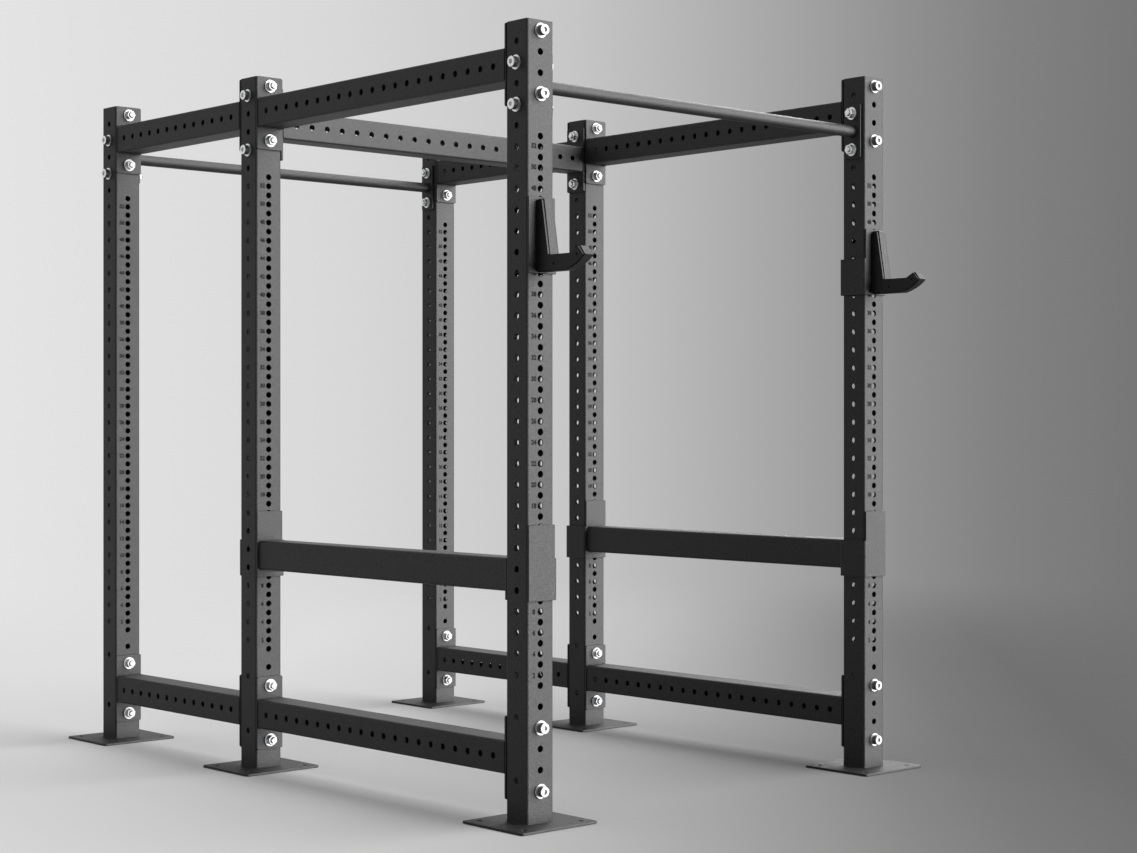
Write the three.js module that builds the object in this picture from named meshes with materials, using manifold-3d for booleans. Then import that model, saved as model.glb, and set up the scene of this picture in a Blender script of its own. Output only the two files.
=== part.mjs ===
// Free-standing power cage: six square uprights on welded base plates, bolted side beams, one cross
// beam, two pull-up bars, a pair of J-cups and a pair of safety beams that hang on pins.
// Millimetres. +Z is up, -Y is the front, and the origin is the middle of the footprint on the floor.
// Steps are hole pitches counted from the hole numbered 0 on every upright.

import * as THREE from 'three';
import { mergeVertices } from 'three/addons/utils/BufferGeometryUtils.js';
import Module from 'manifold-3d';

const wasm = await Module();
wasm.setup();

// ---- driving dimensions -------------------------------------------------------------------------

const postSize = 80;            // outside width of the uprights and of the beams
const postWall = 3;
const postCorner = 6;           // outside corner radius of the square tube
const clearWidth = 1100;        // between the left and right uprights
const frontBay = 1100;          // between the front and middle uprights
const rearBay = 700;            // between the middle and rear uprights

const holePitch = 25;
const stepsBelowZero = 12;      // from the foot of the tube up to step 0
const topStep = 64;             // the tube ends here

const boltHole = 16;            // diameter of the holes that take bolts and pins
const boltPlay = 1.4;           // hole less shank
const boltShank = boltHole - boltPlay;
const washerDiameter = 35;
const washerThickness = 3;
const headDiameter = 26;
const headHeight = 15;
const nutDiameter = 28;
const nutHeight = 13;
const boltTail = 5;             // thread standing out of the nut

const baseSize = 230;
const baseThickness = 6;
const anchorSpacing = 170;
const anchorHole = 14;

const flangeThickness = 6;
const flangeMargin = 25;        // from a bolt's axis to the end of its flange
const topBeamStep = 60;
const bottomBeamStep = -6;
const crossBeamStep = 59;
const beamBoltSteps = 3;        // bolts sit this far above and below a beam's axis

const barDiameter = 32;
const barWall = 3;
const barStep = 58;
const barBoltSteps = 2;
const barFlangeWidth = 60;

const fitGap = 0.3;             // between faces that touch on the assembled cage
const bracketClearance = 0.5;   // between a hanging bracket and its upright
const bracketPlate = 6;
const bracketBend = 7;          // outside radius of the bends
const bracketHeight = 180;      // front plate
const bracketWrapHeight = 100;  // side plate and rear lip
const jcupLipEnd = 8;           // the lip stops this far from the upright's outer face
const safetyLipEnd = 2;

const pinPlay = 1;              // hole less pin
const pinDiameter = boltHole - pinPlay;
const pinReach = 78;            // into the upright, from its front face
const pinBelowTop = 30;         // from the top of the front plate down to the pin
const jcupPinStep = 46;
const safetyPinStep = 15;

const hookWidth = 34;
const hookReach = 176;          // from the upright's front face to the tip
const cheekThickness = 5.5;
const cheekSetBack = 2.5;       // of the cheeks' edges behind the steel core's
const seatPad = 5;              // thickness of the liner where the bar rests
const seatHeight = 41;          // all heights on the hook start at the foot of its bracket
const seatStart = 51;
const seatEnd = 131;
const tipTopReach = 158;
const tipTopHeight = 57;
const tipFrontHeight = 36;
const tipUnderReach = 110;
const hookFootHeight = 2;
const hookTopReach = 28;
const hookTopHeight = 175;

const safetyWidth = 70;
const safetyHeight = 80;
const safetyWall = 3;
const safetyCorner = 8;
const safetyFoot = 20;          // from the foot of the bracket up to the underside of the beam
const drainHole = 10;
const drainInset = 60;

const pinFacets = 8;            // around pins and anchor holes
const holeFacets = 12;          // a pin turns inside these, so their flats stay clear of it
const barFacets = 16;
const boltFacets = 6;           // the washers and heads share the nut's hexagon
const cornerFacets = 2;         // round each corner of a tube or bend of a plate
const hookFacets = 4;           // along the curve under the hook's tip

// ---- finishes -----------------------------------------------------------------------------------

const powderCoat = { color: 0x2b2c2e, roughness: 0.6, metalness: 0.2 };
const zincPlate = { color: 0xd4d6d8, roughness: 0.28, metalness: 0.9 };
const linerPlastic = { color: 0x151617, roughness: 0.55, metalness: 0 };

// ---- places -------------------------------------------------------------------------------------

const pinInset = postSize / 2;
const columnX = { left: 0, right: postSize + clearWidth };
const rowY = { front: 0, middle: postSize + frontBay, rear: 2 * postSize + frontBay + rearBay };
const frameWidth = columnX.right + postSize;
const frameDepth = rowY.rear + postSize;
const baseOverhang = (baseSize - postSize) / 2;
const footprintCentreY = (frameDepth + baseOverhang - hookReach) / 2;

const sides = ['left', 'right'];
const rows = ['front', 'middle', 'rear'];
const bays = [
  { name: 'front', from: 'front', length: frontBay },
  { name: 'rear', from: 'middle', length: rearBay },
];
const levels = [
  { name: 'upper', step: topBeamStep },
  { name: 'lower', step: bottomBeamStep },
];

const heightOf = (step) => baseThickness + (step + stepsBelowZero) * holePitch;

// ---- solids -------------------------------------------------------------------------------------

function solidOf(geometry) {
  geometry.deleteAttribute('normal');
  geometry.deleteAttribute('uv');
  const merged = mergeVertices(geometry, 1e-4);
  return new wasm.Manifold(new wasm.Mesh({
    numProp: 3,
    vertProperties: new Float32Array(merged.attributes.position.array),
    triVerts: new Uint32Array(merged.index.array),
  }));
}

function meshOf(name, solid, finish) {
  const shape = solid.getMesh();
  const geometry = new THREE.BufferGeometry();
  geometry.setAttribute('position', new THREE.BufferAttribute(shape.vertProperties, shape.numProp));
  geometry.setIndex(new THREE.BufferAttribute(shape.triVerts, 1));
  geometry.computeVertexNormals();
  const mesh = new THREE.Mesh(geometry, new THREE.MeshStandardMaterial(finish));
  mesh.name = name;
  return mesh;
}

// A block between two opposite corners.
function block(low, high) {
  const size = high.map((value, axis) => value - low[axis]);
  const centre = high.map((value, axis) => (value + low[axis]) / 2);
  return solidOf(new THREE.BoxGeometry(...size).translate(...centre));
}

// A round rod from a point, along +X or +Y.
function rod(diameter, length, axis, start, facets) {
  const geometry = new THREE.CylinderGeometry(diameter / 2, diameter / 2, length, facets);
  geometry.translate(0, length / 2, 0);
  if (axis === 'x') {
    geometry.rotateZ(-Math.PI / 2);
  }
  return solidOf(geometry.translate(...start));
}

// What a drill takes out for a bolt or a pin, from a point, along +X or +Y.
function boltBore(length, axis, start) {
  return rod(boltHole, length, axis, start, holeFacets);
}

// What a drill takes out along the Z axis, centred on the origin.
function uprightBore(diameter, length) {
  const geometry = new THREE.CylinderGeometry(diameter / 2, diameter / 2, length, pinFacets);
  return geometry.rotateX(Math.PI / 2);
}

function roundedOutline(width, height, radius) {
  const x = width / 2;
  const y = height / 2;
  const shape = new THREE.Shape();
  shape.moveTo(radius - x, -y);
  shape.lineTo(x - radius, -y);
  shape.absarc(x - radius, radius - y, radius, -Math.PI / 2, 0);
  shape.lineTo(x, y - radius);
  shape.absarc(x - radius, y - radius, radius, 0, Math.PI / 2);
  shape.lineTo(radius - x, y);
  shape.absarc(radius - x, y - radius, radius, Math.PI / 2, Math.PI);
  shape.lineTo(-x, radius - y);
  shape.absarc(radius - x, radius - y, radius, Math.PI, Math.PI * 1.5);
  return shape;
}

function extruded(shape, depth) {
  return new THREE.ExtrudeGeometry(shape, { depth, curveSegments: cornerFacets, bevelEnabled: false });
}

// The outside of a straight rectangular tube and its bore, centred on the Z axis.
function tubeParts(width, height, wall, corner, length) {
  const outline = roundedOutline(width, height, corner);
  const bore = roundedOutline(width - 2 * wall, height - 2 * wall, Math.max(corner - wall, 1));
  return { outside: extruded(outline, length), bore: extruded(bore, length) };
}

// Lays a section drawn in X and Y and extruded along +Z down along +Y.
function alongY(geometry) {
  return geometry.rotateX(-Math.PI / 2);
}

// ---- uprights -----------------------------------------------------------------------------------

function usesSideBolts(row) {
  return row === 'middle' ? [crossBeamStep, beamBoltSteps] : [barStep, barBoltSteps];
}

function forwardHoleSteps(row) {
  const steps = levels.flatMap(({ step }) => [step - beamBoltSteps, step + beamBoltSteps]);
  if (row === 'front') {
    steps.push(jcupPinStep);
  }
  if (row !== 'rear') {
    steps.push(safetyPinStep);
  }
  return steps;
}

function upright(row) {
  const half = postSize / 2;
  const tubeLength = heightOf(topStep) - baseThickness / 2;
  const { outside, bore } = tubeParts(postSize, postSize, postWall, postCorner, tubeLength);
  outside.translate(half, half, baseThickness / 2);
  bore.translate(half, half, baseThickness);
  const plateLow = half - baseSize / 2;
  const plateHigh = half + baseSize / 2;
  let solid = solidOf(outside)
    .subtract(solidOf(bore))
    .add(block([plateLow, plateLow, 0], [plateHigh, plateHigh, baseThickness]));
  for (const step of forwardHoleSteps(row)) {
    solid = solid.subtract(boltBore(postSize * 2, 'y', [half, -half, heightOf(step)]));
  }
  const [sideStep, reach] = usesSideBolts(row);
  for (const step of [sideStep - reach, sideStep + reach]) {
    solid = solid.subtract(boltBore(postSize * 2, 'x', [-half, half, heightOf(step)]));
  }
  for (const x of [-anchorSpacing / 2, anchorSpacing / 2]) {
    for (const y of [-anchorSpacing / 2, anchorSpacing / 2]) {
      const hole = uprightBore(anchorHole, baseThickness * 3);
      solid = solid.subtract(solidOf(hole.translate(half + x, half + y, 0)));
    }
  }
  return solid;
}

// ---- beams and bars -----------------------------------------------------------------------------

// A square beam along +Y with an upright flange welded on each end. Its axis is the Y axis.
function flangedBeam(bayLength) {
  const length = bayLength - 2 * fitGap;
  const half = postSize / 2;
  const boltRise = beamBoltSteps * holePitch;
  const flangeRise = boltRise + flangeMargin;
  const { outside, bore } = tubeParts(postSize, postSize, postWall, postCorner, length);
  let solid = solidOf(alongY(outside));
  for (const start of [0, length - flangeThickness]) {
    const end = start + flangeThickness;
    solid = solid.add(block([-half, start, -flangeRise], [half, end, flangeRise]));
  }
  solid = solid.subtract(solidOf(alongY(bore.scale(1, 1, 2).translate(0, 0, -length / 2))));
  for (const height of [-boltRise, boltRise]) {
    solid = solid.subtract(boltBore(length * 2, 'y', [0, -half, height]));
  }
  return solid;
}

// The same beam turned to run along +X.
function turnedBeam(bayLength) {
  return flangedBeam(bayLength).rotate([0, 0, -90]);
}

function pullUpBar() {
  const length = clearWidth - 2 * fitGap;
  const bore = barDiameter - 2 * barWall;
  const boltRise = barBoltSteps * holePitch;
  const flangeRise = boltRise + flangeMargin;
  const flangeHalf = barFlangeWidth / 2;
  let solid = rod(barDiameter, length, 'x', [0, 0, 0], barFacets);
  for (const start of [0, length - flangeThickness]) {
    const end = start + flangeThickness;
    solid = solid.add(block([start, -flangeHalf, -flangeRise], [end, flangeHalf, flangeRise]));
  }
  solid = solid.subtract(rod(bore, length * 2, 'x', [-length / 2, 0, 0], barFacets));
  for (const height of [-boltRise, boltRise]) {
    solid = solid.subtract(boltBore(length * 2, 'x', [-length / 2, 0, height]));
  }
  return solid;
}

// ---- bolts --------------------------------------------------------------------------------------

// A tightened through-bolt with its washers and nut, along +Y. The head's washer bears on y = 0.
function boltSet(grip) {
  const shank = boltShank / 2;
  const washer = washerDiameter / 2;
  const head = headDiameter / 2;
  const nut = nutDiameter / 2;
  const nutSeat = grip + fitGap + washerThickness;
  const profile = [
    [0, -fitGap - washerThickness - headHeight],
    [head, -fitGap - washerThickness - headHeight],
    [head, -fitGap - washerThickness],
    [washer, -fitGap - washerThickness],
    [washer, -fitGap],
    [shank, -fitGap],
    [shank, grip + fitGap],
    [washer, grip + fitGap],
    [washer, nutSeat],
    [nut, nutSeat],
    [nut, nutSeat + nutHeight],
    [shank, nutSeat + nutHeight],
    [shank, nutSeat + nutHeight + boltTail],
    [0, nutSeat + nutHeight + boltTail],
  ].map(([radius, along]) => new THREE.Vector2(radius, along));
  return new THREE.LatheGeometry(profile, boltFacets);
}

function boltMesh(name, grip) {
  const mesh = new THREE.Mesh(boltSet(grip), new THREE.MeshStandardMaterial(zincPlate));
  mesh.name = name;
  return mesh;
}

// ---- hanging brackets ---------------------------------------------------------------------------

// The plan of the bent plate: across the upright's front, along its inner side and behind it.
function wrapOutline(lipEnd) {
  const inside = postSize + bracketClearance;
  const outside = inside + bracketPlate;
  const innerBend = bracketBend - bracketPlate;
  const shape = new THREE.Shape();
  shape.moveTo(0, postSize - outside);
  shape.lineTo(outside - bracketBend, postSize - outside);
  shape.absarc(outside - bracketBend, postSize - outside + bracketBend, bracketBend, -Math.PI / 2, 0);
  shape.lineTo(outside, outside - bracketBend);
  shape.absarc(outside - bracketBend, outside - bracketBend, bracketBend, 0, Math.PI / 2);
  shape.lineTo(lipEnd, outside);
  shape.lineTo(lipEnd, inside);
  shape.lineTo(inside - innerBend, inside);
  shape.absarc(inside - innerBend, inside - innerBend, innerBend, Math.PI / 2, 0, true);
  shape.lineTo(inside, postSize - inside + innerBend);
  shape.absarc(inside - innerBend, postSize - inside + innerBend, innerBend, 0, -Math.PI / 2, true);
  shape.lineTo(0, postSize - inside);
  return shape;
}

// A bracket and its pin for an upright whose outer front foot corner is the origin. Its inner side
// is towards +X, and its foot is at z = 0.
function bracket(lipEnd) {
  const plateBack = -bracketClearance;
  const plateFront = plateBack - bracketPlate;
  const pinHeight = bracketHeight - pinBelowTop;
  const pinLength = pinReach - plateFront - bracketPlate / 2;
  return solidOf(extruded(wrapOutline(lipEnd), bracketWrapHeight))
    .add(block([0, plateFront, bracketWrapHeight / 2], [postSize, plateBack, bracketHeight]))
    .add(rod(pinDiameter, pinLength, 'y', [pinInset, plateFront + bracketPlate / 2, pinHeight], pinFacets));
}

// ---- J-cups -------------------------------------------------------------------------------------

// The hook's side view, drawn with its reach along +X and height along +Y. Its edges, apart from
// those round the seat, stand back by this much.
function hookOutline(rootReach, seat, setBack) {
  const foot = hookFootHeight + setBack;
  const reach = hookReach - setBack;
  const shape = new THREE.Shape();
  shape.moveTo(rootReach, foot);
  shape.lineTo(tipUnderReach, foot);
  shape.quadraticCurveTo(reach - (reach - tipUnderReach) / 3, foot + seatHeight / 4, reach, tipFrontHeight);
  shape.lineTo(tipTopReach - setBack / 2, tipTopHeight - setBack);
  shape.lineTo(seatEnd, seat);
  shape.lineTo(seatStart - setBack, seat);
  shape.lineTo(hookTopReach - setBack, hookTopHeight - setBack);
  shape.lineTo(rootReach, hookTopHeight - setBack);
  return shape;
}

// A slice of the hook, from one distance to another across the upright.
function hookSlice(outline, fromX, toX) {
  const geometry = new THREE.ExtrudeGeometry(outline, {
    depth: toX - fromX,
    curveSegments: hookFacets,
    bevelEnabled: false,
  });
  geometry.rotateX(Math.PI / 2).rotateZ(-Math.PI / 2);
  return solidOf(geometry.translate(toX, 0, 0));
}

const hookFrom = pinInset - hookWidth / 2;
const hookTo = pinInset + hookWidth / 2;

function jcupBracket() {
  const rootReach = bracketClearance + bracketPlate / 2;
  const coreFrom = hookFrom + cheekThickness + fitGap;
  const coreTo = hookTo - cheekThickness - fitGap;
  return bracket(jcupLipEnd)
    .add(hookSlice(hookOutline(rootReach, seatHeight - seatPad - fitGap, 0), coreFrom, coreTo));
}

function jcupLiner() {
  const rootReach = bracketClearance + bracketPlate + fitGap;
  const seatLow = seatHeight - seatPad;
  const pad = block([hookFrom, -seatEnd, seatLow], [hookTo, -seatStart, seatHeight]);
  const outline = hookOutline(rootReach, seatHeight, cheekSetBack);
  return hookSlice(outline, hookFrom, hookFrom + cheekThickness)
    .add(hookSlice(outline, hookTo - cheekThickness, hookTo))
    .add(pad);
}

// ---- safety beams -------------------------------------------------------------------------------

function safetyBeam() {
  const bayPitch = rowY.middle - rowY.front;
  const seatY = postSize + bracketClearance + bracketPlate / 2;
  const endY = bayPitch - bracketClearance - bracketPlate / 2;
  const { outside, bore } = tubeParts(safetyWidth, safetyHeight, safetyWall, safetyCorner, endY - seatY);
  const middleZ = safetyFoot + safetyHeight / 2;
  const drain = uprightBore(drainHole, safetyWall * 4).translate(pinInset, seatY + drainInset, safetyFoot);
  const tube = solidOf(alongY(outside).translate(pinInset, seatY, middleZ))
    .subtract(solidOf(alongY(bore).translate(pinInset, seatY, middleZ)))
    .subtract(solidOf(drain));
  return tube
    .add(bracket(safetyLipEnd))
    .add(bracket(safetyLipEnd).translate([0, bayPitch, 0]));
}

// ---- assembly -----------------------------------------------------------------------------------

const cage = new THREE.Group();
cage.position.set(-frameWidth / 2, -footprintCentreY, 0);

function place(mesh, x, y, z) {
  mesh.position.set(x, y, z);
  cage.add(mesh);
}

// Hanging pieces are drawn for the left uprights and mirrored for the right ones.
function placeHanging(name, solid, finish, side, pinStep) {
  const foot = heightOf(pinStep) - (bracketHeight - pinBelowTop);
  const handed = side === 'left' ? solid : solid.mirror([1, 0, 0]);
  const x = side === 'left' ? columnX.left : columnX.right + postSize;
  place(meshOf(name, handed, finish), x, rowY.front, foot);
}

for (const side of sides) {
  for (const row of rows) {
    place(meshOf(`upright_${row}_${side}`, upright(row), powderCoat), columnX[side], rowY[row], 0);
  }
  for (const level of levels) {
    for (const bay of bays) {
      const name = `side_beam_${level.name}_${bay.name}_${side}`;
      const start = rowY[bay.from] + postSize + fitGap;
      const mesh = meshOf(name, flangedBeam(bay.length), powderCoat);
      place(mesh, columnX[side] + postSize / 2, start, heightOf(level.step));
    }
  }
}

const crossBeam = meshOf('cross_beam', turnedBeam(clearWidth), powderCoat);
place(crossBeam, postSize + fitGap, rowY.middle + postSize / 2, heightOf(crossBeamStep));

for (const row of ['front', 'rear']) {
  const bar = meshOf(`pull_up_bar_${row}`, pullUpBar(), powderCoat);
  place(bar, postSize + fitGap, rowY[row] + postSize / 2, heightOf(barStep));
}

// Bolts that run front to back. On the front uprights the head is in front; elsewhere the nut is.
function placeLongBolt(side, row, level, end) {
  const flanges = row === 'middle' ? 2 : 1;
  const grip = postSize + flanges * (flangeThickness + fitGap);
  const mesh = boltMesh(`bolt_${row}_${side}_${level.name}_${end.name}`, grip);
  const x = columnX[side] + postSize / 2;
  const z = heightOf(level.step + end.sign * beamBoltSteps);
  if (row === 'front') {
    place(mesh, x, rowY[row], z);
  } else {
    mesh.rotation.z = Math.PI;
    place(mesh, x, rowY[row] - fitGap - flangeThickness + grip, z);
  }
}

// Bolts that run across the cage, with the head on the outer face of the upright.
function placeSideBolt(side, row, end) {
  const [step, reach] = usesSideBolts(row);
  const mesh = boltMesh(`side_bolt_${row}_${side}_${end.name}`, postSize + flangeThickness + fitGap);
  mesh.rotation.z = side === 'left' ? -Math.PI / 2 : Math.PI / 2;
  const x = side === 'left' ? columnX.left : columnX.right + postSize;
  place(mesh, x, rowY[row] + postSize / 2, heightOf(step + end.sign * reach));
}

const ends = [
  { name: 'top', sign: 1 },
  { name: 'bottom', sign: -1 },
];

for (const side of sides) {
  for (const row of rows) {
    for (const end of ends) {
      for (const level of levels) {
        placeLongBolt(side, row, level, end);
      }
      placeSideBolt(side, row, end);
    }
  }
}

for (const side of sides) {
  placeHanging(`jcup_bracket_${side}`, jcupBracket(), powderCoat, side, jcupPinStep);
  placeHanging(`jcup_liner_${side}`, jcupLiner(), linerPlastic, side, jcupPinStep);
  placeHanging(`safety_beam_${side}`, safetyBeam(), powderCoat, side, safetyPinStep);
}

export default cage;
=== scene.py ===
"""Looks of a free-standing power cage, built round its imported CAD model.

Metres throughout. +Z is up and -Y is the front of the cage. Steps are hole pitches counted from the
hole numbered 0 on every upright.
"""

import math

import bmesh
import bpy
from mathutils import Matrix, Vector


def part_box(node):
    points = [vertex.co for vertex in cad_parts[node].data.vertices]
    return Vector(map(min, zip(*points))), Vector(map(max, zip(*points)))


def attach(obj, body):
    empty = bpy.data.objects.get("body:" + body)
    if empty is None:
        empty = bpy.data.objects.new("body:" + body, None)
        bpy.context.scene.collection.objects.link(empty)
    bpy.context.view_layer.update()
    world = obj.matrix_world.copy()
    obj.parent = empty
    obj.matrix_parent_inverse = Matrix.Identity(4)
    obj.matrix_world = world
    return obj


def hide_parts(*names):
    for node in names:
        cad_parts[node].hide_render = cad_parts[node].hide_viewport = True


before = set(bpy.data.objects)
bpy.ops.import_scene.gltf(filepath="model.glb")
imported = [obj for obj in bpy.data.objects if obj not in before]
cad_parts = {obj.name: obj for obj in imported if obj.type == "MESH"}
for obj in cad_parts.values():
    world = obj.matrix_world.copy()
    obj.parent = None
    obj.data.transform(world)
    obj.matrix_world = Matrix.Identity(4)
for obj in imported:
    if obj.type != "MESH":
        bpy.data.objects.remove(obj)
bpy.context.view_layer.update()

# ---- sizes --------------------------------------------------------------------------------------

TUBE = 0.080  # outside width of the uprights and beams
TUBE_WALL = 0.003
TUBE_CORNER = 0.006

PITCH = 0.025
STEPS_BELOW_ZERO = 12
HOLE = 0.016
HOLE_EDGE = 0.0005  # the break that the coating rounds off at a hole's mouth
FORWARD_STEPS = [63, 61, 59, 57, *range(53, 0, -1), -1, -3, -5, -7, -9]
SIDEWAYS_STEPS = [*range(62, 0, -2), -2, -8]
NUMBERED_STEPS = range(2, 54, 2)
DIGIT_SIZE = 0.0155
DIGIT_STROKE = 0.0008  # added to each side of a stroke
DIGIT_OFFSET = 0.020  # left of the holes
DIGIT_THICKNESS = 0.0001
DIGIT_CURVE_STEPS = 3
MERGED_BELOW = 1e-6  # points nearer than this are merged

FOOT_PLATE = 0.006
FOOT_CORNER = 0.008
ANCHOR_SPACING = 0.170
ANCHOR_HOLE = 0.014
CAP_DEPTH = 0.012
CAP_TOP = 0.0015  # the cap's top stands this far below the rim
CAP_RIB = 0.0022

BEAM_HOLE_PITCH = 0.050
FLANGE = 0.006
FLANGE_CORNER = 0.005
BOLT_TO_FLANGE_END = 0.025
PLATE_EDGE = 0.0009
WELD = 0.0016
WELD_RIPPLE = 0.12  # share of the bead's radius
WELD_STEP = 0.002
WELD_RIPPLE_STEPS = 3  # stations along a bead from one ripple to the next
WELD_FACETS = 8
WELD_SEAT = 0.2  # share of the radius by which the bead's middle stands off the corner

BAR = 0.032
BAR_WALL = 0.003

WASHER = 0.035
WASHER_THICKNESS = 0.003
HEAD = 0.026
HEAD_HEIGHT = 0.015
HEAD_CHAMFER = 0.0012
SOCKET = 0.012
SOCKET_DEPTH = 0.005
NUT_FLATS = 0.024
NUT_HEIGHT = 0.013
SHANK = 0.0146
THREAD_PITCH = 0.002
THREAD_DEPTH = 0.0006
BOLT_TAIL = 0.005
FIT_GAP = 0.0003
WASHER_EDGE = 0.0004
NUT_EDGE = 0.0012
SIDE_SHARE = 0.9  # of the head's radius: faces farther out than this are its side
TIGHTENED = 0.61  # turn from one bolt to the next, in radians, so that no two look alike

BRACKET_CLEARANCE = 0.0005
BRACKET_PLATE = 0.006
BRACKET_BEND = 0.007
BRACKET_HEIGHT = 0.180
BRACKET_WRAP_HEIGHT = 0.100
BRACKET_CORNER = 0.0012
JCUP_LIP_END = 0.008
SAFETY_LIP_END = 0.002
PIN = 0.015
PIN_REACH = 0.078
PIN_BELOW_TOP = 0.030
PIN_CHAMFER = 0.002
CUT_CORNER_ANGLE = 1.2  # radians: steeper corners of the cut plate get BRACKET_CORNER
SHARP_ANGLE = 0.9  # radians: steeper edges are eased

HOOK_WIDTH = 0.034
HOOK_FOOT = 0.002
HOOK_REACH = 0.176
HOOK_TOP = (0.028, 0.175)
CHEEK = 0.0055
CHEEK_EDGE = 0.0006
CHEEK_SET_BACK = 0.0025  # of the cheeks' edges behind the steel core's
SEAT_PAD = 0.005
SEAT_HEIGHT = 0.041
SEAT_START = 0.051
SEAT_END = 0.131
TIP_TOP = (0.158, 0.057)
TIP_FRONT = 0.036
TIP_UNDER = 0.110
TIP_STEPS = 8  # facets of the curve under the tip
TIP_ROUND = 0.002
SEAT_ROUND = 0.006
HOOK_TOP_ROUND = 0.003
LINER_SCREW = 0.0060
LINER_SCREW_SUNK = 0.0030  # below the cheek's face
LINER_SCREW_CROWN = 0.0012  # height of the head, with a dimple in its middle
LINER_SCREWS = [(0.024, 0.113), (0.069, 0.019), (0.153, 0.036)]

SAFETY_WIDTH = 0.070
SAFETY_HEIGHT = 0.080
SAFETY_CORNER = 0.008
SAFETY_FOOT = 0.020
DRAIN_HOLE = 0.010
DRAIN_INSET = 0.060

ROUND_STEPS = 24  # facets round holes and turned pieces
CORNER_STEPS = 4
EASED = 0.3  # share of an eased edge that its middle point lies in from both faces
SAME_HEIGHT = 1e-5  # two heights nearer than this are one
ROUNDED_TO = 6  # decimals to which heights are kept, so that they can be looked up

ROUND_ANGLE = 50  # degrees: faces that meet at less are shaded as one
FLAT_ANGLE = 30
BOLT_ANGLE = 35

SIDES = ("left", "right")
ROWS = ("front", "middle", "rear")


def height_of(step):
    return FOOT_PLATE + (step + STEPS_BELOW_ZERO) * PITCH


# ---- shader writing -----------------------------------------------------------------------------


class Value:
    """One output of a node. Sums written with it add their Math nodes."""

    def __init__(self, shader, socket):
        self.shader = shader
        self.socket = socket

    def maths(self, operation, first, second):
        return self.shader.node("ShaderNodeMath", {"operation": operation}, {0: first, 1: second})

    def __add__(self, other):
        return self.maths("ADD", self, other)

    def __sub__(self, other):
        return self.maths("SUBTRACT", self, other)

    def __mul__(self, other):
        return self.maths("MULTIPLY", self, other)

    def __rsub__(self, other):
        return self.maths("SUBTRACT", other, self)

    def __truediv__(self, other):
        return self.maths("DIVIDE", self, other)

    def __rtruediv__(self, other):
        return self.maths("DIVIDE", other, self)

    __radd__ = __add__
    __rmul__ = __mul__


class Shader:
    """Writes the nodes of a material or of the world."""

    def __init__(self, owner):
        owner.use_nodes = True
        self.owner = owner
        self.tree = owner.node_tree
        self.tree.nodes.clear()

    def node(self, kind, settings, inputs, output=0):
        made = self.tree.nodes.new(kind)
        for name, value in settings.items():
            if name == "stops":
                self.set_stops(made.color_ramp, value)
            else:
                setattr(made, name, value)
        for name, value in inputs.items():
            if isinstance(value, Value):
                self.tree.links.new(value.socket, made.inputs[name])
            else:
                made.inputs[name].default_value = value
        return Value(self, made.outputs[output]) if made.outputs else made

    def set_stops(self, ramp, stops):
        while len(ramp.elements) < len(stops):
            ramp.elements.new(0.5)
        for element, (position, grey) in zip(ramp.elements, stops):
            element.position = position
            element.color = (grey, grey, grey, 1)

    def place(self):
        """Object coordinates, in metres."""
        return self.node("ShaderNodeTexCoord", {}, {}, "Object")

    def noise(self, size, detail=2.0):
        """Noise from 0 to 1 whose grains are about this many metres across."""
        return self.node(
            "ShaderNodeTexNoise", {}, {"Vector": self.place(), "Scale": 1 / size, "Detail": detail}
        )

    def shade(self, dark, light, amount):
        """A colour between two others."""
        return self.node(
            "ShaderNodeMix",
            {"data_type": "RGBA"},
            {0: amount, 6: (*dark, 1), 7: (*light, 1)},
            2,
        )

    def bump(self, height, strength, depth):
        return self.node(
            "ShaderNodeBump", {}, {"Height": height, "Strength": strength, "Distance": depth}
        )

    def finish(self, inputs):
        surface = self.node("ShaderNodeBsdfPrincipled", {}, inputs)
        self.node("ShaderNodeOutputMaterial", {}, {"Surface": surface})
        return self.owner


# ---- finishes -----------------------------------------------------------------------------------


def powder_coat():
    """Anthracite powder coat with a fine orange-peel texture."""
    shader = Shader(bpy.data.materials.new("anthracite_powder_coat"))
    cloud = shader.noise(0.30)
    mottle = shader.noise(0.0055, 3.0) * 3 - 1
    peel = shader.noise(0.0032, 3.0)
    grain = shader.noise(0.0005)
    return shader.finish(
        {
            "Base Color": shader.shade((0.0030, 0.0031, 0.0033), (0.0115, 0.0116, 0.0118), mottle),
            "Roughness": 0.50 + 0.06 * grain + 0.04 * cloud,
            "Normal": shader.bump(peel * 0.8 + grain * 0.2, 0.80, 0.0012),
            "Specular IOR Level": 0.26,
        }
    )


def zinc_plate():
    """Bright zinc on the bolts, washers and nuts, with faint handling marks."""
    shader = Shader(bpy.data.materials.new("bright_zinc"))
    cloud = shader.noise(0.012)
    marks = shader.noise(0.0012, 4.0)
    return shader.finish(
        {
            "Base Color": shader.shade((0.68, 0.69, 0.70), (0.80, 0.81, 0.82), cloud),
            "Metallic": 1.0,
            "Roughness": 0.26 + 0.12 * marks,
            "Normal": shader.bump(marks, 0.12, 0.0001),
        }
    )


def knurled_steel():
    """Painted shade on the heads' sides: dark steel that stands in for their shadow and their
    reflections of the dark uprights.
    """
    shader = Shader(bpy.data.materials.new("dark_steel_painted_shade_on_head_sides"))
    grain = shader.noise(0.0006)
    return shader.finish(
        {
            "Base Color": shader.shade((0.10, 0.10, 0.102), (0.20, 0.20, 0.202), grain),
            "Metallic": 1.0,
            "Roughness": 0.45 + 0.15 * grain,
        }
    )


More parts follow.
